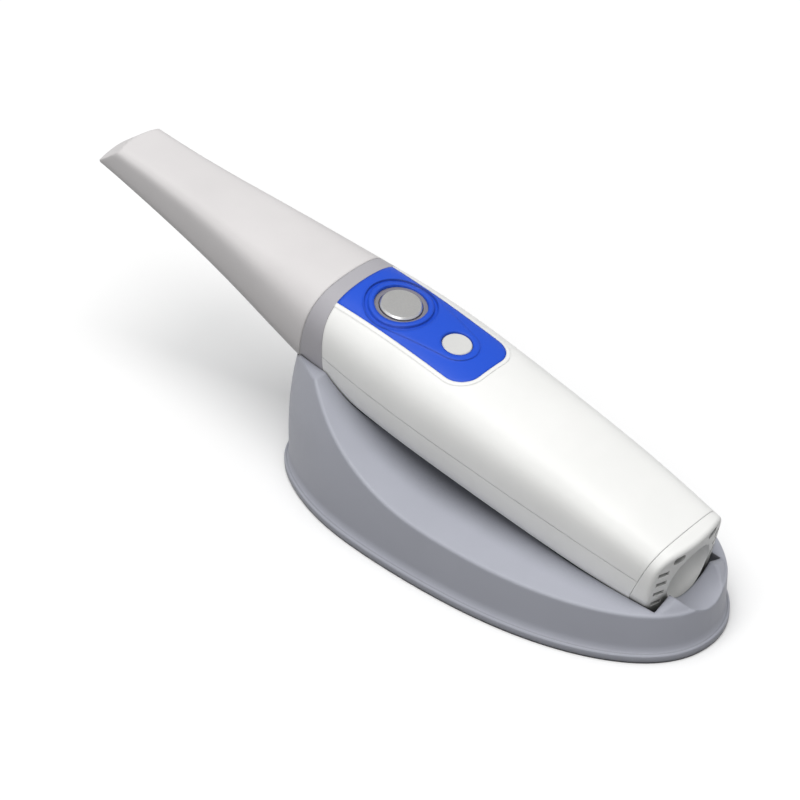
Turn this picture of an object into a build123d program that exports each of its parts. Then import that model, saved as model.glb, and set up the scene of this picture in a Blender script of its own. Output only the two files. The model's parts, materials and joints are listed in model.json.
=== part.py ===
from build123d import *
import os
from functools import cache
from math import copysign, cos, pi, radians, sin, sqrt, tan

os.makedirs("parts", exist_ok=True)

# An intraoral scanner lying on its desk cradle. Millimetres, +Z up, +X towards the wand's tail.
# The origin is the middle of the cradle's underside, on the surface that it stands on.
# The wand is drawn in a frame of its own: X from the tail face towards the mouth end, Z up out of
# the button side, and then laid on the cradle with its nose raised.

# Wand, overall
wand_tilt = 10.5            # nose up, degrees
well_height = 22.8          # centre of the cable well above the table, at the tail face
handle_length = 142.5       # tail face to the joint between collar and tip
tip_length = 103.5          # that joint to the front end
shell_wall = 2.2
seam_gap = 0.08             # open line between two mouldings of the housing

# Skin of the wand at the tail, the heel, the waist, the palm, the brow and the collar joint:
# place, height of the top, depth of the underside, half width, squareness of the section
TAIL = (0.0, 14.6, 11.6, 17.0, 3.6)
HEEL = (30.0, 18.6, 13.2, 19.3, 3.3)
WAIST = (handle_length - 82.5, 21.2, 14.0, 20.9, 3.0)
PALM = (handle_length - 47.5, 23.2, 14.2, 22.1, 2.8)
BROW = (handle_length - 17.5, 23.6, 13.6, 21.5, 2.7)
JOINT = (handle_length, 22.8, 12.0, 19.9, 2.7)
# and of the tip at its shoulder, neck, cheek and end; a depth below zero lies above the axis
SHOULDER = (handle_length + 32.5, 19.9, 5.2, 15.7, 3.4)
NECK = (handle_length + 62.5, 17.7, 1.0, 12.1, 4.2)
CHEEK = (handle_length + 87.5, 16.2, -2.0, 10.5, 4.8)
MOUTH = (handle_length + tip_length, 15.2, -4.0, 10.2, 5.0)

# Tail cap
cap_seam_at = 7.2           # where the seam of the cap crosses the axis
cap_seam_lean = 11.0        # degrees, further in at the underside
cap_face_wall = 2.4
tail_crown_radius = 48.0    # bow of the tail face in plan
tail_edge_radius = 1.6
well_radius = 10.0
well_depth = 14.0
well_floor_radius = 7.6
well_wall = 1.3
vent_length = 3.8
vent_height = 1.6
vent_pitch = 4.1
vent_count = 4
vent_out = 13.3             # middle of a vent from the centre plane
vent_top = 7.4
cap_screw_out = 8.2
cap_screw_up = 11.3
cap_screw_radius = 0.8
cap_screw_head_radius = 1.15
cap_screw_head = 0.8
cap_screw_seat = 0.7        # of the wall left under the head
cap_dimple_length = 4.8     # oval dimple round each head
cap_dimple_height = 2.7
cap_screw_length = 9.0
cap_screw_slot = 0.4
cap_screw_hole = 3.0        # left past the end of the screw
cap_boss_end = 6.0          # past the end of the screw
screw_clearance = 0.2
screw_boss_wall = 1.3

# Seam between the upper and the lower shell
seam_at_tail = 2.3          # above the axis
seam_lean = 0.9             # degrees, rising towards the mouth end

# Collar and the nose that the tip slides on
collar_width = 10.0         # on the axis
collar_lean = 11.5          # degrees, wider at the underside
joint_lean = 2.3            # degrees, the front face further out at the underside
spigot_length = 12.0
spigot_clearance = 0.2
spigot_wall = 1.8
root_spigot_length = 6.0
nose_reach = 65.0           # nose tube past the joint
nose_gap = 1.4              # between tube and inside of the tip
nose_wall = 1.4
window_thickness = 1.5
window_half_width = 6.2
window_half_height = 3.6
window_corner = 2.0
window_clearance = 0.1

# Tip
tip_wall = 1.6
tip_gap = 0.1               # line between tip and collar
bevel_start = 238.8         # end of the tip's flat top, from the tail face
bevel_angle = 47.0
bevel_bow_radius = 30.0
tip_end_radius = 1.2        # edge of the blunt front end
port_length = 14.0          # opening in the underside that the scanner looks through
port_half_width = 6.6
port_from_end = 4.5
port_corner = 2.0
mirror_half_width = 6.6
mirror_length = 10.0
mirror_thickness = 1.0
mirror_clearance = 0.3

# Button panel
panel_thickness = 1.2
panel_front_half = 13.3
panel_rear_half = 12.7
panel_length = 48.2         # from the collar line to its rear edge
panel_corner_radius = 7.5
panel_gap = 0.05
lip_width = 1.3
lip_height = 0.15
island_height = 0.3
ring_lip_width = 1.8
moat_width = 1.4
moat_depth = 0.45

# Scan button, its bezel ring, and mode button
scan_back = 21.0            # behind the collar joint
scan_radius = 6.9
scan_proud = 0.0            # above the skin of the wand
scan_thickness = 2.1
scan_chamfer = 0.5
scan_travel = 0.8
scan_island_radius = 12.2
bezel_radius = 8.6
bezel_bore_gap = 0.25
bezel_sunk = 0.9            # below the skin
mode_back = 44.45
mode_radius = 4.83
mode_proud = 0.1
mode_thickness = 2.0
mode_travel = 0.6
mode_gap = 0.2
mode_chamfer = 0.3
mode_island_radius = 7.2
stem_radius = 1.9
stem_gap = 0.25
travel_reserve = 0.2        # left under a pressed button
button_seat_wall = 1.6
stem_end = 18.0             # lower end of both stems above the axis
stem_to_switch = 0.1

# Boards, light engine and cooling inside the housing
board_thickness = 1.6
board_corner = 2.0
button_board_top = 15.6
button_board_half = 8.0
button_board_end = 9.0      # past the middle of a button
switch_side = 6.0
switch_body = 0.9
plunger_radius = 1.6
bench_top = -7.0            # above the axis
bench_thickness = 2.4
bench_half = 8.5
bench_rear = 40.0
standoff_height = 4.6
standoff_radius = 2.2
standoff_out = 5.5          # from the centre plane
standoff_end = 4.0          # from the ends of the board
main_board_half = 12.0
main_board_rear = 41.0
main_board_length = 54.0
chip_height = 1.3
CHIPS = [(10.0, -5.0, 4.5), (10.0, 5.0, 4.5), (20.0, 0.0, 3.0)]  # behind the edge, aside, half size
sink_length = 26.0
sink_half = 10.0
sink_base = 1.6
sink_height = 8.0
fin_count = 6
fin_thickness = 1.1
engine_length = 30.0
engine_half = 8.5
engine_height = 17.5
engine_bezel = 1.2
engine_edge = 1.5
barrel_radius = 4.4
barrel_wall = 0.8
barrel_height = 8.2         # its axis above the wand's
barrel_length = 66.0
lens_thickness = 2.0
lens_dome_radius = 9.0
fan_side = 20.0
fan_depth = 8.0
fan_rear = 26.0
fan_height = 1.0            # its axis above the wand's
fan_bore = 9.2
fan_hub = 4.4
fan_tip_gap = 0.4
fan_corner = 2.0
fan_arms = 3
fan_arm_width = 1.4
fan_plate = 1.2
fan_shaft = 1.0
fan_shaft_gap = 0.05
fan_blades = 7
fan_blade_thickness = 0.8
fan_blade_pitch = 35.0      # degrees
socket_radius = 5.2
socket_wall = 0.9
socket_length = 7.0
socket_proud = 4.0
socket_floor = 1.5
socket_flange = 1.6
pin_count = 5
pin_radius = 0.35
pin_length = 4.0
pin_ring = 2.666            # radius of the ring of contacts

# Cradle
base_behind = 11.1          # past the wand's tail face
base_beyond = 12.8          # past the collar joint
base_half_width = 40.1
base_widest = -1.2          # place of the greatest width along the cradle
base_square_tail = 2.16
base_square_prow = 2.46
base_wall = 2.6
base_lift = 0.6             # skirt above the table
skirt_height = 2.6
skirt_ledge = 1.9           # from the skirt's edge in to the wall, at the sides
skirt_ledge_ends = 1.4
skirt_edge = 0.5
sweep_height = 3.0          # of the hollow curve from the skirt up into the wall
sweep_foot = 0.8            # its foot from the skirt's edge
wall_lean = 4.4             # inwards at the horn's height
wall_bow = 2.5              # power of its curve
rim_low = 16.8              # at the tail end
rim_pitch = 3.15            # degrees, rising towards the prow
rim_lift_from = 71.0        # before the tail face, where the sweep up to the horn starts
rim_power = 2.35
horn_run = 57.3             # length of that sweep
horn_top = 46.5
rim_edge_radius = 0.8
cradle_clearance = 0.3
mound_top = 21.2            # of the raised block behind the tail face
mound_half = 17.7           # at the foot of its flanks
mound_flank = 27.0          # degrees
mound_round = 9.5           # how far in from the wall its top starts to round down
mound_fall = 12.2           # height of that rounding
mound_square = 3.0          # squareness of that rounding
groove_radius = 11.7
groove_floor = 14.6
sole_inset = 0.3
plate_thickness = 2.0
plate_clearance = 0.2
base_screw_radius = 1.5
base_screw_head_radius = 2.8
base_screw_length = 9.0
base_boss_radius = 4.0
base_screw_x = 48.0
base_screw_y = 22.0

FAR = 200.0                 # reach of the blocks that only cut


# Worked out from the sizes above
STATIONS = [TAIL, HEEL, WAIST, PALM, BROW, JOINT, SHOULDER, NECK, CHEEK, MOUTH]
tilt = radians(wand_tilt)
joint_at = handle_length
skin_start = -4.0
base_length = base_behind + joint_at * cos(tilt) + JOINT[2] * sin(tilt) + base_beyond
tail_x = base_length / 2 - base_behind
WAND = Plane(
    origin=(tail_x, 0, well_height), x_dir=(-cos(tilt), 0, sin(tilt)), z_dir=(sin(tilt), 0, cos(tilt))
)
LOW = (Align.CENTER, Align.CENTER, Align.MIN)


def bent(value, power):
    """A signed power, for squared ovals."""
    return copysign(abs(value) ** power, value)


def skin_at(at):
    """Top, underside, half width and squareness of the wand's skin, eased between the stations."""
    index = max(i for i in range(len(STATIONS) - 1) if STATIONS[i][0] <= at or i == 0)
    here, there = STATIONS[index], STATIONS[index + 1]
    before = STATIONS[max(index - 1, 0)]
    after = STATIONS[min(index + 2, len(STATIONS) - 1)]
    span = there[0] - here[0]
    t = (at - here[0]) / span
    values = []
    for k in range(1, 5):
        slope_here = (there[k] - before[k]) / (there[0] - before[0]) * span
        slope_there = (after[k] - here[k]) / (after[0] - here[0]) * span
        ease = t * t * (3 - 2 * t)
        bow = t * (1 - t) * (slope_here * (1 - t) - slope_there * t)
        values.append(here[k] + (there[k] - here[k]) * ease + bow)
    return values


def closed_curve(outline):
    """Smooth closed curve whose points are evenly spaced in its parameter."""
    count = len(outline)
    steps = [i / count for i in range(count + 1)]
    return make_face(Edge.make_spline(outline, periodic=True, parameters=steps))


def section(at, inset, points=16):
    """The squared oval of the wand's skin at one place, drawn smaller by the inset."""
    top, under, half, square = skin_at(at)
    middle = (top - under) / 2
    rise = (top + under) / 2 - inset
    outline = []
    for i in range(points):
        turn = 2 * pi * i / points
        y = (half - inset) * bent(cos(turn), 2 / square)
        outline.append((at, y, middle + rise * bent(sin(turn), 2 / square)))
    return closed_curve(outline)


@cache
def skin(inset):
    """Solid inside the whole wand's skin, drawn smaller by the inset."""
    places = [skin_start, *(s[0] for s in STATIONS)]
    return loft([section(at, inset) for at in places])


def stretch(start, end, inset=0.0):
    """Part of that solid between two places along the wand."""
    return skin(inset) & block(start, end, 2 * base_half_width, -FAR, FAR)


def beyond(plane):
    """Everything in front of a plane."""
    return plane.location * Box(2 * FAR, 2 * FAR, 2 * FAR, align=LOW)


def facing(at, lean=0.0):
    """A plane across the wand that looks to the mouth end, leaning by some degrees."""
    slope = radians(lean)
    return Plane(origin=(at, 0, 0), x_dir=(0, 1, 0), z_dir=(cos(slope), 0, -sin(slope)))


def upright(radius, at, low, high, out=0.0):
    """Cylinder square to the button side."""
    return Pos(at, out, low) * Cylinder(radius, high - low, align=LOW)


def along(radius, start, end, out=0.0, up=0.0):
    """Cylinder along the wand."""
    return Pos(start, out, up) * Rot(0, 90, 0) * Cylinder(radius, end - start, align=LOW)


def block(start, end, half, low, high, out=0.0):
    """Box along the wand."""
    return Pos((start + end) / 2, out, low) * Box(end - start, 2 * half, high - low, align=LOW)


def put(shape, name):
    """Lay a piece of the wand on the cradle and write it."""
    write(WAND.location * shape, name)


def write(shape, name):
    """Write one sub-part."""
    shape.label = name
    export_step(shape, f"parts/{name}.step")


# Planes that part the wand
JOINT_FACE = facing(joint_at + JOINT[1] * tan(radians(joint_lean)), -joint_lean)
TIP_REAR = JOINT_FACE.offset(tip_gap)
CAP_SEAM = facing(cap_seam_at, -cap_seam_lean)
CAP_SEAM_INNER = facing(cap_seam_at + seam_gap, -cap_seam_lean)
COLLAR_REAR = facing(joint_at - collar_width, collar_lean)
SHELL_FRONT = facing(joint_at - collar_width - seam_gap, collar_lean)
SEAM = Plane(
    origin=(0, 0, seam_at_tail),
    x_dir=(1, 0, 0),
    z_dir=(-sin(radians(seam_lean)), 0, cos(radians(seam_lean))),
)


def shell_half(upper):
    """One half of the hollow housing, from the cap seam to the collar."""
    ring = (skin(0) & beyond(CAP_SEAM_INNER)) - [skin(shell_wall), beyond(SHELL_FRONT)]
    if upper:
        return ring & beyond(SEAM)
    return ring - beyond(SEAM.offset(-seam_gap))


# Places of the two buttons along the wand, and the skin's height there
scan_at = joint_at - scan_back
mode_at = joint_at - mode_back
scan_skin = skin_at(scan_at)[0]
mode_skin = skin_at(mode_at)[0]
scan_top = scan_skin + scan_proud
mode_top = mode_skin + mode_proud
bezel_top = scan_skin - bezel_sunk
scan_floor = scan_top - scan_thickness - scan_travel - travel_reserve
mode_floor = mode_top - mode_thickness - mode_travel - travel_reserve


def panel_prism(grow):
    """Upright prism over the panel's outline; its front is open to the collar."""
    rear = joint_at - collar_width - panel_length - grow
    front = joint_at + 5
    corners = [
        (front, -panel_front_half - grow),
        (rear, -panel_rear_half - grow),
        (rear, panel_rear_half + grow),
        (front, panel_front_half + grow),
    ]
    outline = make_face(Polyline(*corners, close=True))
    rear_corners = outline.vertices().sort_by(Axis.X)[:2]
    outline = fillet(rear_corners, panel_corner_radius + grow)
    return Pos(0, 0, 8) * extrude(outline, 30)


def island_prism(grow=0.0):
    """Prism over the raised teardrop that holds both buttons."""
    big = Pos(scan_at, 0) * Circle(scan_island_radius + grow)
    small = Pos(mode_at, 0) * Circle(mode_island_radius + grow)
    return Pos(0, 0, 12) * extrude(make_hull((big + small).edges()), 25)


def button_panel():
    """Thin blue panel that follows the skin, with a raised teardrop, a ring lip and a moat."""
    plate = skin(0) & panel_prism(-panel_gap)
    raised = skin(-island_height) & island_prism()
    lip = bezel_radius + panel_gap + ring_lip_width
    moat = upright(lip + moat_width, scan_at, 10, 40) - upright(lip, scan_at, 10, 40)
    openings = [
        skin(panel_thickness),
        beyond(SHELL_FRONT),
        moat - skin(moat_depth),
        upright(bezel_radius + panel_gap, scan_at, 10, 40),
        upright(mode_radius + mode_gap, mode_at, 10, 40),
    ]
    return plate + raised - openings


def cap_boss(side):
    """Boss under the roof of the upper shell for one screw of the tail cap."""
    end = cap_screw_length + cap_boss_end
    radius = cap_screw_radius + screw_boss_wall
    boss = along(radius, 0, end, side * cap_screw_out, cap_screw_up)
    boss += block(0, end, radius, cap_screw_up, 30, side * cap_screw_out)
    return boss & skin(shell_wall / 2) & beyond(CAP_SEAM_INNER)


def upper_shell():
    """Top half of the housing: panel seat, raised lip round it, button seats and cap bosses."""
    border = panel_prism(lip_width) - panel_prism(0)
    lip = ((skin(-lip_height) & border) - skin(lip_height)) - beyond(SHELL_FRONT)
    within = skin((panel_thickness + shell_wall) / 2)
    seats = [
        upright(bezel_radius + button_seat_wall, scan_at, button_board_top, 30) & within,
        upright(mode_radius + button_seat_wall, mode_at, button_board_top, 30) & within,
    ]
    openings = [panel_prism(0) - skin(panel_thickness)]
    for at, radius, floor in (
        (scan_at, bezel_radius + panel_gap, scan_floor),
        (mode_at, mode_radius + mode_gap, mode_floor),
    ):
        openings.append(upright(radius, at, floor, 40))
        openings.append(upright(stem_radius + stem_gap, at, 0, 40))
        openings.append(upright(radius - button_seat_wall / 2, at, 0, stem_end + 0.4))
    hole = cap_screw_length + cap_screw_hole
    for side in (-1, 1):
        openings.append(along(cap_screw_radius, 0, hole, side * cap_screw_out, cap_screw_up))
    return shell_half(True) + [lip, *seats, cap_boss(-1), cap_boss(1)] - openings


def lower_shell():
    """Bottom half of the housing, with posts under the bench and the fan."""
    post_top = bench_top - bench_thickness
    posts = [block(fan_rear + 1, fan_rear + fan_depth - 1, 6, -30, fan_height - fan_side / 2)]
    for at in (bench_rear + 6, joint_at - collar_width - 22):
        for side in (-1, 1):
            posts.append(upright(standoff_radius, at, -30, post_top, side * standoff_out))
    within = skin(shell_wall / 2)
    return shell_half(False) + [post & within for post in posts]


def tail_crown():
    """Block with a bowed face that trims the tail of the wand in plan."""
    blank = block(-FAR / 4, 25, FAR / 4, -40, 40)
    return blank - upright(tail_crown_radius, tail_crown_radius - 0.8, -50, 50)


def tail_cap():
    """End cap: crowned face, cable well, vents and two screw seats."""
    outer = (skin(0) - [beyond(CAP_SEAM), tail_crown()])
    rear_edges = outer.edges().filter_by_position(Axis.X, -3, 3.4)
    outer = fillet(rear_edges, tail_edge_radius)
    hollow = stretch(cap_face_wall, 40, shell_wall)
    flare = (well_radius - well_floor_radius) / well_depth
    wide = well_radius + well_wall - flare * cap_face_wall / 2
    narrow = well_floor_radius + well_wall - flare * well_wall
    cup = loft(
        [
            Plane.YZ.offset(cap_face_wall / 2) * Circle(wide),
            Plane.YZ.offset(well_depth + well_wall) * Circle(narrow),
        ]
    )
    openings = [
        loft([Plane.YZ.offset(-3) * Circle(well_radius + 3 * flare),
              Plane.YZ.offset(well_depth) * Circle(well_floor_radius)]),
        along(socket_radius, 0, 40),
    ]
    seat = cap_face_wall - cap_screw_seat
    dimple = Plane.YZ.offset(seat - cap_screw_head) * SlotOverall(cap_dimple_length, cap_dimple_height)
    dimple = extrude(dimple, -10)
    for side in (-1, 1):
        openings.append(Pos(0, side * cap_screw_out, cap_screw_up) * dimple)
        for row in range(vent_count):
            up = vent_top - row * vent_pitch
            low, high = up - vent_height / 2, up + vent_height / 2
            openings.append(block(-5, 6, vent_length / 2, low, high, side * vent_out))
        head = cap_screw_head_radius + screw_clearance
        openings.append(along(head, -5, seat, side * cap_screw_out, cap_screw_up))
        bore = cap_screw_radius + screw_clearance
        openings.append(along(bore, -5, 20, side * cap_screw_out, cap_screw_up))
    return (outer - hollow) + cup - openings


def cap_screws():
    """The two screws that hold the tail cap, heads towards the tail."""
    seat = cap_face_wall - cap_screw_seat
    screw = along(cap_screw_head_radius, seat - cap_screw_head, seat)
    screw += along(cap_screw_radius, seat, seat + cap_screw_length)
    screw -= Pos(seat - cap_screw_head, 0, 0) * Box(cap_screw_head, cap_screw_head_radius, cap_screw_slot)
    return [Pos(0, side * cap_screw_out, cap_screw_up) * screw for side in (-1, 1)]


def collar_ring():
    """Grey collar with a spigot forward into the tip and one back into the shells."""
    ring = stretch(joint_at - 30, joint_at + 10) & beyond(COLLAR_REAR)
    ring -= beyond(JOINT_FACE)
    front = stretch(joint_at - 1, joint_at + spigot_length, tip_wall + spigot_clearance)
    rear_start = joint_at - collar_width - root_spigot_length
    rear = stretch(rear_start, joint_at - 1, shell_wall + spigot_clearance)
    rear -= upright(bezel_radius + button_seat_wall + spigot_clearance, scan_at, 0, 40)
    bore = stretch(rear_start - 1, joint_at + 1.5, shell_wall + spigot_clearance + spigot_wall)
    nose_seat = stretch(joint_at + 1, joint_at + spigot_length + 1, tip_wall + nose_gap - 0.05)
    return ring + [front, rear] - [bore, nose_seat]


def nose_tube():
    """Tapered tube that carries the optics up inside the tip; its front wall seats the window."""
    end = joint_at + nose_reach
    outer = stretch(joint_at + 1, end, tip_wall + nose_gap)
    inner = stretch(joint_at, end - 2 * window_thickness, tip_wall + nose_gap + nose_wall)
    return outer - [inner, window_block(end, window_clearance, 4 * window_thickness)]


def window_block(end, grow, depth):
    """Rounded pane shape, square across the wand, at the end of the nose."""
    top, under = skin_at(end)[:2]
    wide, high = 2 * (window_half_width + grow), 2 * (window_half_height + grow)
    shape = RectangleRounded(wide, high, window_corner + grow)
    across = Plane(origin=(end, 0, (top - under) / 2), x_dir=(0, 1, 0), z_dir=(-1, 0, 0))
    return extrude(across * shape, depth)


def bevel_round(inset=0.0):
    """Long cylinder that lies along the bevel of the tip and bows it across."""
    slope = radians(bevel_angle)
    top = skin_at(bevel_start)[0]
    middle = Plane(
        origin=(bevel_start - bevel_bow_radius * sin(slope), 0, top - bevel_bow_radius * cos(slope)),
        x_dir=(0, 1, 0),
        z_dir=(cos(slope), 0, -sin(slope)),
    )
    rod = middle.location * Cylinder(bevel_bow_radius - inset, 4 * FAR)
    return rod + block(0, bevel_start - bevel_bow_radius / 2, 60, -60, 60)


def tip_sleeve():
    """Pull-off tip: tapered hollow sleeve with a bevelled end and a port in its underside."""
    end = joint_at + tip_length
    outer = stretch(joint_at - 1, end) & beyond(TIP_REAR) & bevel_round()
    outer = fillet(outer.faces().sort_by(Axis.X)[-1].edges(), tip_end_radius)
    inner = stretch(joint_at - 1, end - tip_wall, tip_wall) & bevel_round(tip_wall)
    port_end = end - port_from_end
    port = block(port_end - port_length, port_end, port_half_width, -30, skin_at(port_end)[0] / 2)
    port = fillet(port.edges().filter_by(Axis.Z), port_corner)
    return outer - [inner, port]


def tip_mirror():
    """Flat mirror glued behind the bevel; it turns the view down through the port."""
    slope = radians(bevel_angle)
    top = skin_at(bevel_start)[0]
    sag = bevel_bow_radius - tip_wall
    sag -= sqrt(sag**2 - mirror_half_width**2)
    depth = tip_wall + sag + mirror_clearance + mirror_thickness / 2
    reach = mirror_length / 2 + 0.5
    middle = (
        bevel_start + reach * cos(slope) - depth * sin(slope),
        0,
        top - reach * sin(slope) - depth * cos(slope),
    )
    plane = Plane(origin=middle, x_dir=(0, 1, 0), z_dir=(sin(slope), 0, cos(slope)))
    return plane.location * Box(2 * mirror_half_width, mirror_length, mirror_thickness)


def bezel_ring():
    """Grey ring round the scan button."""
    ring = upright(bezel_radius, scan_at, scan_floor, bezel_top)
    return ring - upright(scan_radius + bezel_bore_gap, scan_at, 0, 40)


def press_button(at, radius, top, thickness):
    """Round button head on its stem."""
    head = upright(radius, at, top - thickness, top)
    return head + upright(stem_radius, at, stem_end, top - thickness + 0.2)


def scan_button():
    """Metal scan button with a turned chamfer."""
    button = press_button(scan_at, scan_radius, scan_top, scan_thickness)
    return chamfer(button.edges().group_by(Axis.Z)[-1], scan_chamfer)


def mode_button():
    """White mode button with a broken edge."""
    button = press_button(mode_at, mode_radius, mode_top, mode_thickness)
    return chamfer(button.edges().group_by(Axis.Z)[-1], mode_chamfer)


def button_board():
    """Board under the buttons, screwed up against their seats."""
    low = button_board_top - board_thickness
    start, end = mode_at - button_board_end, scan_at + button_board_end
    board = block(start, end, button_board_half, low, button_board_top)
    return fillet(board.edges().filter_by(Axis.Z), board_corner)


def button_switches():
    """Two tact switches, one under each stem."""
    switches = []
    for at, travel in ((scan_at, scan_travel), (mode_at, mode_travel)):
        top = stem_end - travel - stem_to_switch
        body = Pos(at, 0, button_board_top) * Box(switch_side, switch_side, switch_body, align=LOW)
        switches.append(body + upright(plunger_radius, at, button_board_top, top))
    return switches


main_board_front = main_board_rear + main_board_length
board_low = bench_top + standoff_height
board_top = board_low + board_thickness


def optics_bench():
    """Metal rail along the bottom of the handle with four standoffs for the main board."""
    front = joint_at - collar_width - root_spigot_length - 0.3
    bench = block(bench_rear, front, bench_half, bench_top - bench_thickness, bench_top)
    for at in (main_board_rear + standoff_end, main_board_front - standoff_end):
        for side in (-1, 1):
            bench += upright(standoff_radius, at, bench_top, board_low, side * standoff_out)
    return bench


def main_board():
    """Processing board on the standoffs."""
    board = block(main_board_rear, main_board_front, main_board_half, board_low, board_top)
    return fillet(board.edges().filter_by(Axis.Z), board_corner)


def board_chips():
    """Memory and supply chips beside the heat sink."""
    return [
        Pos(main_board_front - back, out, board_top) * Box(2 * half, 1.6 * half, chip_height, align=LOW)
        for back, out, half in CHIPS
    ]


def heat_sink():
    """Finned block on the processor."""
    start = main_board_rear + 2
    end = start + sink_length
    sink = block(start, end, sink_half, board_top, board_top + sink_base)
    pitch = (2 * sink_half - fin_thickness) / (fin_count - 1)
    for i in range(fin_count):
        out = -sink_half + fin_thickness / 2 + i * pitch
        sink += block(start, end, fin_thickness / 2, board_top, board_top + sink_height, out)
    return sink


def light_engine():
    """Projector block on the bench, behind the barrel."""
    front = joint_at - collar_width - root_spigot_length - 0.5
    engine = block(front - engine_length, front, engine_half, bench_top, bench_top + engine_height)
    engine = fillet(engine.edges().filter_by(Axis.X), engine_edge)
    return engine + along(barrel_radius + engine_bezel, front - 2, front + 1, 0, barrel_height)


def imaging_barrel():
    """Tube of lenses between the light engine and the nose window."""
    start = joint_at - collar_width - root_spigot_length + 0.5
    tube = along(barrel_radius, start, start + barrel_length, 0, barrel_height)
    bore = along(barrel_radius - barrel_wall, start + 2, start + barrel_length + 1, 0, barrel_height)
    return tube - bore


def front_lens():
    """Lens in the mouth of the barrel, domed forward."""
    end = joint_at - collar_width - root_spigot_length + 0.5 + barrel_length
    radius = barrel_radius - barrel_wall - 0.05
    dome = Pos(0, 0, lens_thickness - lens_dome_radius) * Sphere(lens_dome_radius)
    lens = Cylinder(radius, lens_thickness, align=LOW) & dome
    return Pos(end - lens_thickness - 0.5, 0, barrel_height) * Rot(0, 90, 0) * lens


def fan_frame():
    """Square frame of the cooling fan with its bearing plate on three arms."""
    half = fan_side / 2
    frame = block(fan_rear, fan_rear + fan_depth, half, fan_height - half, fan_height + half)
    frame = fillet(frame.edges().filter_by(Axis.X), fan_corner)
    frame -= along(fan_bore, fan_rear - 1, fan_rear + fan_depth + 1, 0, fan_height)
    spider = along(fan_hub, fan_rear, fan_rear + fan_plate, 0, fan_height)
    for i in range(fan_arms):
        arm = Box(fan_plate, fan_arm_width, fan_bore, align=(Align.MIN, Align.CENTER, Align.MIN))
        spider += Pos(fan_rear, 0, fan_height) * Rot(360 * i / fan_arms, 0, 0) * arm
    return frame + spider - along(fan_shaft + fan_shaft_gap, fan_rear - 1, fan_rear + 4, 0, fan_height)


def fan_rotor():
    """Hub and pitched blades on a short shaft."""
    start = fan_rear + fan_plate + fan_tip_gap
    end = fan_rear + fan_depth - fan_tip_gap
    rotor = along(fan_hub, start, end, 0, fan_height)
    rotor += along(fan_shaft, fan_rear + 0.1, start + 1, 0, fan_height)
    reach = fan_bore - fan_tip_gap
    sweep = along(reach, start, end, 0, fan_height)
    for i in range(fan_blades):
        blade = Rot(0, 0, fan_blade_pitch) * Box(end - start + 4, fan_blade_thickness, reach)
        blade = Pos(0, 0, reach / 2) * blade
        turned = Pos((start + end) / 2, 0, fan_height) * Rot(360 * i / fan_blades, 0, 0) * blade
        rotor += turned & sweep
    return rotor


def cable_socket():
    """Round socket at the bottom of the cable well."""
    start = well_depth - socket_proud
    socket = along(socket_radius, start, start + socket_length)
    flange_start = well_depth + well_wall
    socket += along(socket_radius + socket_flange, flange_start, flange_start + socket_floor)
    return socket - along(socket_radius - socket_wall, start - 1, start + socket_length - socket_floor)


def socket_pins():
    """Insulator of the socket with its ring of contacts."""
    floor = well_depth - socket_proud + socket_length - socket_floor
    insert = along(socket_radius - socket_wall - 0.05, floor - 2, floor)
    for i in range(pin_count):
        turn = 2 * pi * i / pin_count
        out, up = pin_ring * cos(turn), pin_ring * sin(turn)
        insert += along(pin_radius, floor - pin_length - 1, floor - 1, out, up)
    return insert


# Cradle


def boat(inset, height, ends=None, points=20):
    """Plan outline of the cradle: a squared oval, blunter at the prow, drawn in from sides and ends."""
    ends = inset if ends is None else ends
    outline = []
    for i in range(points):
        turn = 2 * pi * i / points
        square, side = (base_square_tail, 1) if cos(turn) > 0 else (base_square_prow, -1)
        reach = base_length / 2 - side * base_widest - ends
        x = base_widest + reach * bent(cos(turn), 2 / square)
        y = (base_half_width - inset) * bent(sin(turn), 2 / square)
        outline.append((x, y, height))
    return closed_curve(outline)


skirt_top = base_lift + skirt_height


def wall_outline(inset, z):
    """Outline of the cradle's wall at a height; the wall stands upright and bows inwards towards the top."""
    rise = max(0, (z - skirt_top - sweep_height) / (horn_top - skirt_top - sweep_height))
    lean = wall_lean * rise**wall_bow + inset
    return boat(skirt_ledge + lean, z, skirt_ledge_ends + lean)


def walls(inset, low, high, steps=4):
    """Solid inside the cradle's wall between two heights."""
    return loft([wall_outline(inset, low + (high - low) * k / steps) for k in range(steps + 1)])


rim_start = tail_x - rim_lift_from
horn_x = rim_start - horn_run


def rim_line(x):
    """Height of the cradle's top at a place along it, before it sweeps up."""
    return rim_low + (base_length / 2 - x) * tan(radians(rim_pitch))


def rim_height(x):
    """Height of the cradle's swept top at a place along it."""
    if x > rim_start:
        return rim_line(x)
    return rim_line(x) + (horn_top - rim_line(horn_x)) * ((rim_start - x) / horn_run) ** rim_power


def above_rim(drop=0.0):
    """Everything above the swept top of the cradle."""
    places = [horn_x + horn_run * k / 5 for k in range(6)]
    places += [rim_start + (base_length / 2 + 4 - rim_start) * k / 2 for k in (1, 2)]
    curve = Spline(*[(x, rim_height(x) - drop) for x in places])
    start, end = curve @ 0, curve @ 1
    outline = curve + Polyline(end, (end.X, FAR / 2), (-FAR, FAR / 2), (-FAR, start.Y), start)
    return extrude(Plane.XZ * make_face(outline), FAR, both=True)


def wand_space(grow):
    """Room for the wand with some clearance, open upwards."""
    return WAND.location * stretch(-0.8 - grow, joint_at + 60, -grow)


def groove(radius):
    """Level trough behind the cable well, which the cable runs out over."""
    middle = groove_floor + groove_radius
    return Pos(tail_x - 10, 0, middle) * Rot(0, 90, 0) * Cylinder(radius, FAR / 2, align=LOW)


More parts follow.
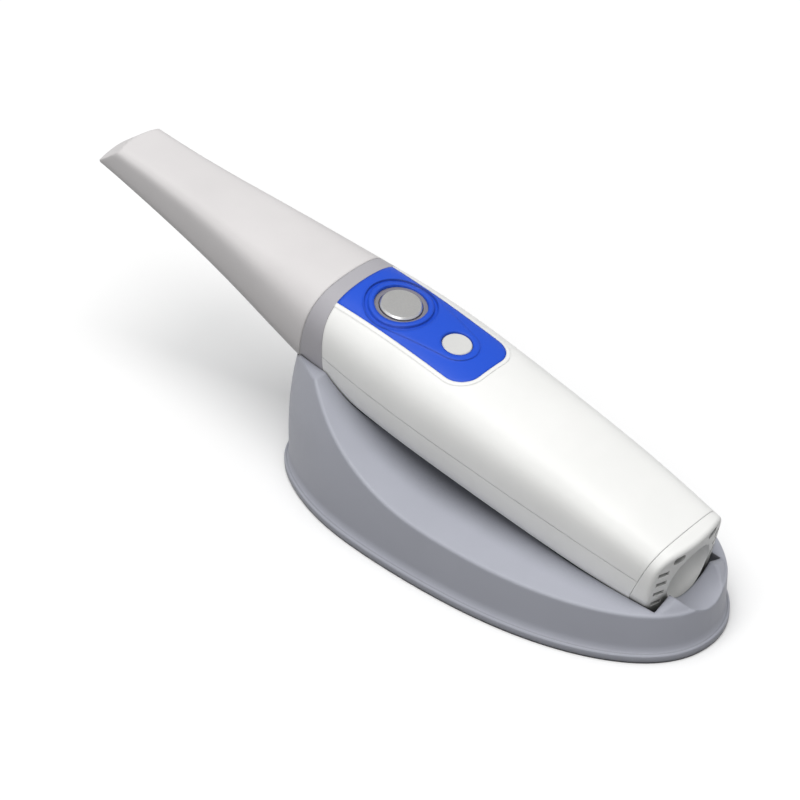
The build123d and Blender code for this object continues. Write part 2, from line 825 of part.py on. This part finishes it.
def mound():
    """Raised block behind the tail face, with sloping flanks, that rounds down to the wall."""
    slope = tan(radians(mound_flank))
    base = mound_top - mound_fall
    half = mound_half + (rim_low - base) / slope
    spread = mound_fall / slope
    top = half - spread
    flanks = Polyline((-half, base), (half, base), (top, mound_top), (-top, mound_top), close=True)
    across = extrude(Plane.YZ.offset(tail_x - 2) * make_face(flanks), FAR / 2)
    rounding = []
    for turn in (0, 10, 25, 45, 70, 90):
        inset = mound_round * (1 - bent(cos(radians(turn)), 2 / mound_square))
        height = base + mound_fall * bent(sin(radians(turn)), 2 / mound_square)
        rounding.append(boat(skirt_ledge + inset, height, skirt_ledge_ends + inset))
    return across & loft(rounding)


def base_blank():
    """Outside of the cradle before the wand's bed is cut."""
    skirt = extrude(boat(0, base_lift), skirt_height)
    skirt = chamfer(skirt.edges().group_by(Axis.Z)[-1], skirt_edge)
    foot = skirt_top + sweep_height
    sweep = []
    for share, rise in ((0, -0.1), (0.7, 0.3), (1, 1)):
        side = sweep_foot + (skirt_ledge - sweep_foot) * share
        ends = sweep_foot + (skirt_ledge_ends - sweep_foot) * share
        sweep.append(boat(side, skirt_top + sweep_height * rise, ends))
    return skirt + [loft(sweep), walls(0, foot, horn_top + 4)]


def base_body():
    """One hollow moulding: skirt, bowed wall, swept rim, saddle for the wand, mound and cable groove."""
    body = base_blank() - (above_rim() - mound())
    body -= [wand_space(cradle_clearance), groove(groove_radius)]
    high_edges = body.edges().filter_by(lambda edge: edge.center().Z > rim_low)
    rim = high_edges.sort_by(lambda edge: abs(edge.center().Y))
    body = fillet(rim[-2:], rim_edge_radius)
    hollow = walls(base_wall, -1, horn_top)
    hollow -= [above_rim(base_wall), wand_space(cradle_clearance + base_wall)]
    hollow -= groove(groove_radius + base_wall)
    return body - hollow + base_bosses()


def base_bosses():
    """Screw posts under the roof of the cradle."""
    low = base_lift + plate_thickness
    posts = []
    roof = [above_rim(base_wall / 2), wand_space(cradle_clearance + base_wall / 2)]
    for x in (-base_screw_x, base_screw_x):
        for y in (-base_screw_y, base_screw_y):
            post = Pos(x, y, low) * Cylinder(base_boss_radius, horn_top - low, align=LOW)
            hole = Pos(x, y, low) * Cylinder(base_screw_radius, base_screw_length, align=LOW)
            posts.append(post - [hole, *roof])
    return posts


def base_plate():
    """Flat plate that closes the cradle from below, with countersunk screw holes."""
    margin = base_wall + plate_clearance
    plate = extrude(boat(skirt_ledge + margin, base_lift, skirt_ledge_ends + margin), plate_thickness)
    for screw in base_screw_solids(screw_clearance):
        plate -= screw
    return plate


def base_screw_solids(grow=0.0):
    """Four countersunk screws."""
    screws = []
    head = base_screw_head_radius - base_screw_radius
    for x in (-base_screw_x, base_screw_x):
        for y in (-base_screw_y, base_screw_y):
            cone = Cone(base_screw_head_radius + grow, base_screw_radius + grow, head, align=LOW)
            shaft = Cylinder(base_screw_radius + grow, base_screw_length - 1, align=LOW)
            screws.append(Pos(x, y, base_lift) * (cone + shaft))
    return screws


def base_sole():
    """Rubber sheet under the plate; its underside is what the cradle stands on."""
    return extrude(boat(sole_inset, 0), base_lift)


def group(solids, name):
    """Fasteners and other repeats that share one sub-part."""
    return Compound(label=name, children=list(solids))


def main():
    put(upper_shell(), "upper_shell")
    put(lower_shell(), "lower_shell")
    put(button_panel(), "button_panel")
    put(bezel_ring(), "bezel_ring")
    put(scan_button(), "scan_button")
    put(mode_button(), "mode_button")
    put(button_board(), "button_board")
    put(group(button_switches(), "button_switches"), "button_switches")
    put(collar_ring(), "collar_ring")
    put(nose_tube(), "nose_tube")
    put(window_block(joint_at + nose_reach, 0, window_thickness), "nose_window")
    put(tip_sleeve(), "tip_sleeve")
    put(tip_mirror(), "tip_mirror")
    put(tail_cap(), "tail_cap")
    put(group(cap_screws(), "cap_screws"), "cap_screws")
    put(cable_socket(), "cable_socket")
    put(socket_pins(), "socket_pins")
    put(optics_bench(), "optics_bench")
    put(main_board(), "main_board")
    put(group(board_chips(), "board_chips"), "board_chips")
    put(heat_sink(), "heat_sink")
    put(light_engine(), "light_engine")
    put(imaging_barrel(), "imaging_barrel")
    put(front_lens(), "front_lens")
    put(fan_frame(), "fan_frame")
    put(fan_rotor(), "fan_rotor")
    write(base_body(), "base_body")
    write(base_plate(), "base_plate")
    write(base_sole(), "base_sole")
    write(group(base_screw_solids(), "base_screws"), "base_screws")


if __name__ == "__main__":
    main()
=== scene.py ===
import json
import math
from functools import cached_property

import bpy
from mathutils import Matrix, Vector

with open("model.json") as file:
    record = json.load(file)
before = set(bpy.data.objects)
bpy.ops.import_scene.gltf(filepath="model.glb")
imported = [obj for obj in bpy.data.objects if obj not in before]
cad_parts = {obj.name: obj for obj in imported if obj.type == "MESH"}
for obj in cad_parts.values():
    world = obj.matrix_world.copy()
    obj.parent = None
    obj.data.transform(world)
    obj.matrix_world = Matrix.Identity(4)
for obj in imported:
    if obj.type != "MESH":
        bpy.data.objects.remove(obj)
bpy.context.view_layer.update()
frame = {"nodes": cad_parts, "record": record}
nodes = frame["nodes"]
scene = bpy.context.scene


# Camera: fitted to the photo, in metres from the frame's origin

AZIMUTH, ELEVATION = math.radians(41.177), math.radians(37.376)
FOCAL_PIXELS, PHOTO_PIXELS = 2848.66, 800
SENSOR_MM = 36.0
AWAY = 0.912
ASIDE, ABOVE = 0.032945, -0.041195     # where the origin lies in the view, at its depth
NEAR, FAR = 0.05, 20

right = Vector((math.cos(AZIMUTH), math.sin(AZIMUTH), 0))
back = Vector((
    math.sin(AZIMUTH) * math.cos(ELEVATION),
    -math.cos(AZIMUTH) * math.cos(ELEVATION),
    math.sin(ELEVATION),
))
up = back.cross(right)
camera_data = bpy.data.cameras.new("camera")
camera_data.lens = FOCAL_PIXELS / PHOTO_PIXELS * SENSOR_MM
camera_data.sensor_width = SENSOR_MM
camera_data.clip_start, camera_data.clip_end = NEAR, FAR
camera = bpy.data.objects.new("camera", camera_data)
turn = Matrix((right, up, back)).transposed().to_4x4()
camera.matrix_world = Matrix.Translation(back * AWAY - right * ASIDE - up * ABOVE) @ turn
scene.collection.objects.link(camera)
scene.camera = camera


# Node helpers

NOISE_SPAN = 0.3, 0.7          # noise seldom leaves this span
DRIFT_SPAN = 0.35, 0.65        # the same for the slow drift of colour
OCCLUSION_SAMPLES, BEVEL_SAMPLES = 8, 6


def srgb(*values):
    """Linear colour of an 8-bit one."""
    out = []
    for v in values:
        v = v / 255
        out.append(v / 12.92 if v <= 0.04045 else ((v + 0.055) / 1.055) ** 2.4)
    return (*out, 1.0)


def scaled(color, factor):
    """Colour made lighter or darker."""
    return (*(min(1, c * factor) for c in color[:3]), 1)


class Nodes:
    """Adds and links the nodes of a material or a world."""

    def __init__(self, owner, shader="Principled BSDF"):
        owner.use_nodes = True
        self.owner = owner
        self.tree = owner.node_tree
        self.shader = self.tree.nodes[shader]

    @cached_property
    def where(self):
        """Object coordinates."""
        return self.add("ShaderNodeTexCoord").outputs["Object"]

    def add(self, kind, **values):
        node = self.tree.nodes.new(kind)
        for key, value in values.items():
            setattr(node, key, value)
        return node

    def link(self, a, b):
        self.tree.links.new(a, b)

    def feed(self, value, socket):
        """Link a socket, or set a plain value."""
        if isinstance(value, bpy.types.NodeSocket):
            self.link(value, socket)
        else:
            socket.default_value = value

    def math(self, operation, a, b):
        node = self.add("ShaderNodeMath", operation=operation)
        self.link(a, node.inputs[0])
        self.link(b, node.inputs[1])
        return node.outputs["Value"]

    def mix(self, kind, factor, a, b):
        node = self.add("ShaderNodeMix", data_type=kind)
        self.link(factor, node.inputs["Factor"])
        self.feed(a, node.inputs["A"])
        self.feed(b, node.inputs["B"])
        return node.outputs["Result"]

    def ramp(self, value, from_min, from_max, to_min, to_max, shape="LINEAR"):
        node = self.add("ShaderNodeMapRange", interpolation_type=shape)
        node.inputs["From Min"].default_value = from_min
        node.inputs["From Max"].default_value = from_max
        node.inputs["To Min"].default_value = to_min
        node.inputs["To Max"].default_value = to_max
        self.link(value, node.inputs["Value"])
        return node.outputs["Result"]

    def noise(self, scale, detail, stretch=None):
        node = self.add("ShaderNodeTexNoise")
        node.inputs["Scale"].default_value = scale
        node.inputs["Detail"].default_value = detail
        where = self.where
        if stretch:
            mapping = self.add("ShaderNodeMapping")
            mapping.inputs["Scale"].default_value = stretch
            self.link(where, mapping.inputs["Vector"])
            where = mapping.outputs["Vector"]
        self.link(where, node.inputs["Vector"])
        return node.outputs["Fac"]

    def vary(self, scale, detail, low, high, stretch=None):
        """Noise spread from low to high."""
        return self.ramp(self.noise(scale, detail, stretch), *NOISE_SPAN, low, high)

    def either(self, one, other):
        """One for rays of either kind, or else zero."""
        path = self.add("ShaderNodeLightPath")
        return self.math("MAXIMUM", path.outputs[one], path.outputs[other])

    def painted_shade_from_occlusion(self, distance, open_at, darkest):
        """Painted shade: one in the open, falling to the darkest in holes and corners, from ambient
        occlusion.
        """
        node = self.add("ShaderNodeAmbientOcclusion", samples=OCCLUSION_SAMPLES)
        node.inputs["Distance"].default_value = distance
        return self.ramp(node.outputs["AO"], 0.0, open_at, darkest, 1.0)

    def edges(self, radius):
        """Normal that rounds the edges."""
        node = self.add("ShaderNodeBevel", samples=BEVEL_SAMPLES)
        node.inputs["Radius"].default_value = radius
        return node.outputs["Normal"]

    def bump(self, height, strength, distance, normal):
        node = self.add("ShaderNodeBump")
        node.inputs["Strength"].default_value = strength
        node.inputs["Distance"].default_value = distance
        self.link(height, node.inputs["Height"])
        self.link(normal, node.inputs["Normal"])
        return node.outputs["Normal"]

    def set(self, **values):
        """Feed the shader's sockets, whose names are written with underscores."""
        for name, value in values.items():
            self.feed(value, self.shader.inputs[name.replace("_", " ")])


# Materials: noise scales are in cells per metre, depths and radii in metres

DRIFT, GLOSS, GRAIN, GRAIN_DEPTH = 35, 900, 5200, 0.00004              # plastic
STAIN, POLISH, BLAST, BLAST_DEPTH = 1500, 2500, 6000, 0.00003          # metal
FACE_STAIN, FACE_POLISH = 1800, 2600                                   # the turned button's face
COLOR_DRIFT = 0.02             # how far the colour of plastic strays to either side
STAIN_SHADE = 0.94             # how dark the darker patches of metal are
GLOSS_DRIFT, METAL_GLOSS_DRIFT = 0.05, 0.06      # how far roughness strays
METAL_EDGE, BUTTON_EDGE = 0.0001, 0.00008
# lighter colour of the button's chamfer: a painted highlight
CHAMFER_HIGHLIGHT_COLOR = (0.97, 0.97, 0.97, 1)
CHAMFER_SLOPE = 0.8, 0.95      # from chamfer to face, as the cosine to the button's axis


def plastic(name, color, rough, grain=0.5, round_edge=0.00025, painted_shade=None, sheen=0.5):
    """Moulded plastic: spark-eroded grain, slight drift of colour and gloss, rounded edges, and painted
    shade in holes and corners when asked.
    """
    m = Nodes(bpy.data.materials.new(name))
    drift = m.ramp(m.noise(DRIFT, 3), *DRIFT_SPAN, 0, 1)
    tint = m.mix("RGBA", drift, scaled(color, 1 - COLOR_DRIFT), scaled(color, 1 + COLOR_DRIFT))
    # painted shade: the colour is darkened where ambient occlusion finds holes, corners and parts close
    # overhead
    if painted_shade:
        shade_scale = m.add("ShaderNodeVectorMath", operation="SCALE")
        m.link(tint, shade_scale.inputs[0])
        m.link(m.painted_shade_from_occlusion(*painted_shade), shade_scale.inputs["Scale"])
        tint = shade_scale.outputs["Vector"]
    m.set(
        Base_Color=tint,
        Roughness=m.vary(GLOSS, 4, rough - GLOSS_DRIFT, rough + GLOSS_DRIFT),
        Specular_IOR_Level=sheen,
        Normal=m.bump(m.noise(GRAIN, 2), grain, GRAIN_DEPTH, m.edges(round_edge)),
    )
    return m.owner


def metal(name, color, rough, grain=0.3, stretch=None):
    """Blasted or drawn metal."""
    m = Nodes(bpy.data.materials.new(name))
    stain = m.vary(STAIN, 3, 0, 1, stretch)
    m.set(
        Base_Color=m.mix("RGBA", stain, scaled(color, STAIN_SHADE), color),
        Metallic=1.0,
        Roughness=m.vary(POLISH, 3, rough - METAL_GLOSS_DRIFT, rough + METAL_GLOSS_DRIFT, stretch),
        Normal=m.bump(m.noise(BLAST, 2, stretch), grain, BLAST_DEPTH, m.edges(METAL_EDGE)),
    )
    return m.owner


def turned(name, color, axis, blasted, polished):
    """Blasted metal with a polished turned chamfer, which is known by its slope; the polish is real, the
    chamfer's lighter colour is a painted highlight.
    """
    m = Nodes(bpy.data.materials.new(name))
    along = m.add("ShaderNodeVectorMath", operation="DOT_PRODUCT")
    m.link(m.add("ShaderNodeNewGeometry").outputs["True Normal"], along.inputs[0])
    along.inputs[1].default_value = axis
    face = m.ramp(along.outputs["Value"], *CHAMFER_SLOPE, 0, 1)
    stained = m.mix("RGBA", m.vary(FACE_STAIN, 3, 0, 1), scaled(color, STAIN_SHADE), color)
    matte = m.vary(FACE_POLISH, 3, blasted - GLOSS_DRIFT, blasted + GLOSS_DRIFT)
    grain = m.math("MULTIPLY", face, m.noise(GRAIN, 2))
    m.set(
        # the chamfer's lighter colour is a painted highlight; its lower roughness is real polish
        Base_Color=m.mix("RGBA", face, CHAMFER_HIGHLIGHT_COLOR, stained),
        Metallic=1.0,
        Roughness=m.mix("FLOAT", face, polished, matte),
        Normal=m.bump(grain, 0.5, GRAIN_DEPTH, m.edges(BUTTON_EDGE)),
    )
    return m.owner


def glass(name):
    m = Nodes(bpy.data.materials.new(name))
    m.set(
        Base_Color=m.mix("RGBA", m.noise(60, 2), (0.92, 0.96, 0.98, 1), (0.96, 0.98, 1.0, 1)),
        Roughness=m.vary(400, 2, 0.02, 0.05),
        Transmission_Weight=1.0,
        IOR=1.5,
    )
    return m.owner


WHITE = srgb(243, 243, 241)
BUTTON_AXIS = (0.182, 0, 0.983)

LOOKS = {
    "shell_white": plastic("shell_white", WHITE, 0.5, round_edge=0.0002),
    "tip_plastic": plastic("tip_plastic", srgb(219, 216, 216), 0.6, round_edge=0.0016, sheen=0.25),
    "collar_grey": plastic("collar_grey", srgb(176, 174, 179), 0.5, sheen=0.35),
    "panel_blue": plastic("panel_blue", srgb(20, 80, 210), 0.45, grain=0.4, round_edge=0.0017, sheen=0.4),
    # base_grey: painted shade within 14 mm, darkest under the wand and in the notch beside the mound
    "base_grey": plastic(
        "base_grey", srgb(175, 177, 187), 0.45, round_edge=0.0015, painted_shade=(0.014, 0.75, 0.15), sheen=0.35
    ),
    "button_metal": turned("button_metal", srgb(222, 221, 219), BUTTON_AXIS, 0.42, 0.3),
    "board": plastic("board", srgb(30, 96, 52), 0.35, grain=0.2),
    "chip_black": plastic("chip_black", srgb(40, 40, 42), 0.5),
    "inner_black": plastic("inner_black", srgb(46, 46, 50), 0.5),
    "window_glass": glass("window_glass"),
    "mirror": metal("mirror", srgb(232, 234, 236), 0.07, grain=0.0),
    "screw_steel": metal("screw_steel", srgb(188, 188, 190), 0.3),
    "socket_metal": metal("socket_metal", srgb(190, 190, 192), 0.32),
    "bench_aluminium": metal("bench_aluminium", srgb(205, 206, 210), 0.35, stretch=(1, 12, 12)),
    "optics_black": plastic("optics_black", srgb(34, 34, 36), 0.4),
    "sole_rubber": plastic("sole_rubber", srgb(58, 58, 62), 0.7, round_edge=0.0002),
}

# Nodes whose look differs from the rest of their slot
BY_NODE = {
    "mode_button": plastic("button_white", srgb(214, 214, 212), 0.5),
    "bezel_ring": plastic("bezel_grey", srgb(132, 129, 137), 0.4, round_edge=0.0002),
    "upper_shell": plastic("shell_lip", WHITE, 0.5, round_edge=0.0008),
    # cap_white: painted shade within 3.5 mm, dark in the vents, screw dimples and along the contact with
    # the base
    "tail_cap": plastic("cap_white", WHITE, 0.5, round_edge=0.0004, painted_shade=(0.0035, 0.9, 0.0)),
}

slot_of = {s["node"]: s["material_slot"] for s in frame["record"]["subparts"]}
for name, node in nodes.items():
    node.data.materials.clear()
    node.data.materials.append(BY_NODE.get(name) or LOOKS[slot_of[name]])


# Floor: pale, matte, white to the camera, and dimmer in the light that it gives back

FLOOR_REACH = 3.0
FLOOR_BOUNCE = 0.12
GLOW_FROM, GLOW_TO, GLOW = 0.3, 1.0, 0.6       # far from the part it glows, so its edge can't be seen


def floor_look(name, bounce, near, far, glow):
    m = Nodes(bpy.data.materials.new(name))
    watched = m.either("Is Camera Ray", "Is Glossy Ray")
    away = m.add("ShaderNodeVectorMath", operation="LENGTH")
    m.link(m.where, away.inputs[0])
    fade = m.ramp(away.outputs["Value"], near, far, 0.0, glow, "SMOOTHSTEP")
    m.set(
        Base_Color=m.mix("RGBA", watched, (bounce, bounce, bounce, 1), (1, 1, 1, 1)),
        Roughness=0.9,
        Specular_IOR_Level=0.0,
        Emission_Color=(1, 1, 1, 1),
        Emission_Strength=m.math("MULTIPLY", fade, watched),
    )
    return m.owner


floor_mesh = bpy.data.meshes.new("floor")
corners = [(x * FLOOR_REACH, y * FLOOR_REACH, 0) for x, y in ((-1, -1), (1, -1), (1, 1), (-1, 1))]
floor_mesh.from_pydata(corners, [], [(0, 1, 2, 3)])
floor_mesh.materials.append(floor_look("floor", FLOOR_BOUNCE, GLOW_FROM, GLOW_TO, GLOW))
floor = bpy.data.objects.new("floor", floor_mesh)
scene.collection.objects.link(floor)


# Lights and background: metres and watts

WORLD_COLOR = (0.99, 1.0, 1.01, 1)
WORLD_LIGHT, WORLD_SEEN = 0.45, 1.0            # strength as a light, and as seen by the camera


def lamp(name, size, power, place, target, color=(1, 1, 1)):
    """Square area light that faces the target."""
    data = bpy.data.lights.new(name, "AREA")
    data.shape = "SQUARE"
    data.size = size
    data.energy = power
    data.color = color
    light = bpy.data.objects.new(name, data)
    place, target = Vector(place), Vector(target)
    light.location = place
    light.rotation_mode = "QUATERNION"
    light.rotation_quaternion = (target - place).to_track_quat("-Z", "Y")
    scene.collection.objects.link(light)


lamp("key", 2.0, 45.0, (0.1, -0.5, 2.5), (-0.02, 0, 0.03), (1.0, 0.995, 0.985))
lamp("glint", 1.2, 6.0, (1.0, -1.72, 1.42), (-0.04, 0, 0.06))

scene.world = bpy.data.worlds.new("world")
sky = Nodes(scene.world, "Background")
seen = sky.either("Is Camera Ray", "Is Transmission Ray")
sky.set(Color=WORLD_COLOR, Strength=sky.ramp(seen, 0, 1, WORLD_LIGHT, WORLD_SEEN))

scene.view_settings.view_transform = "Standard"
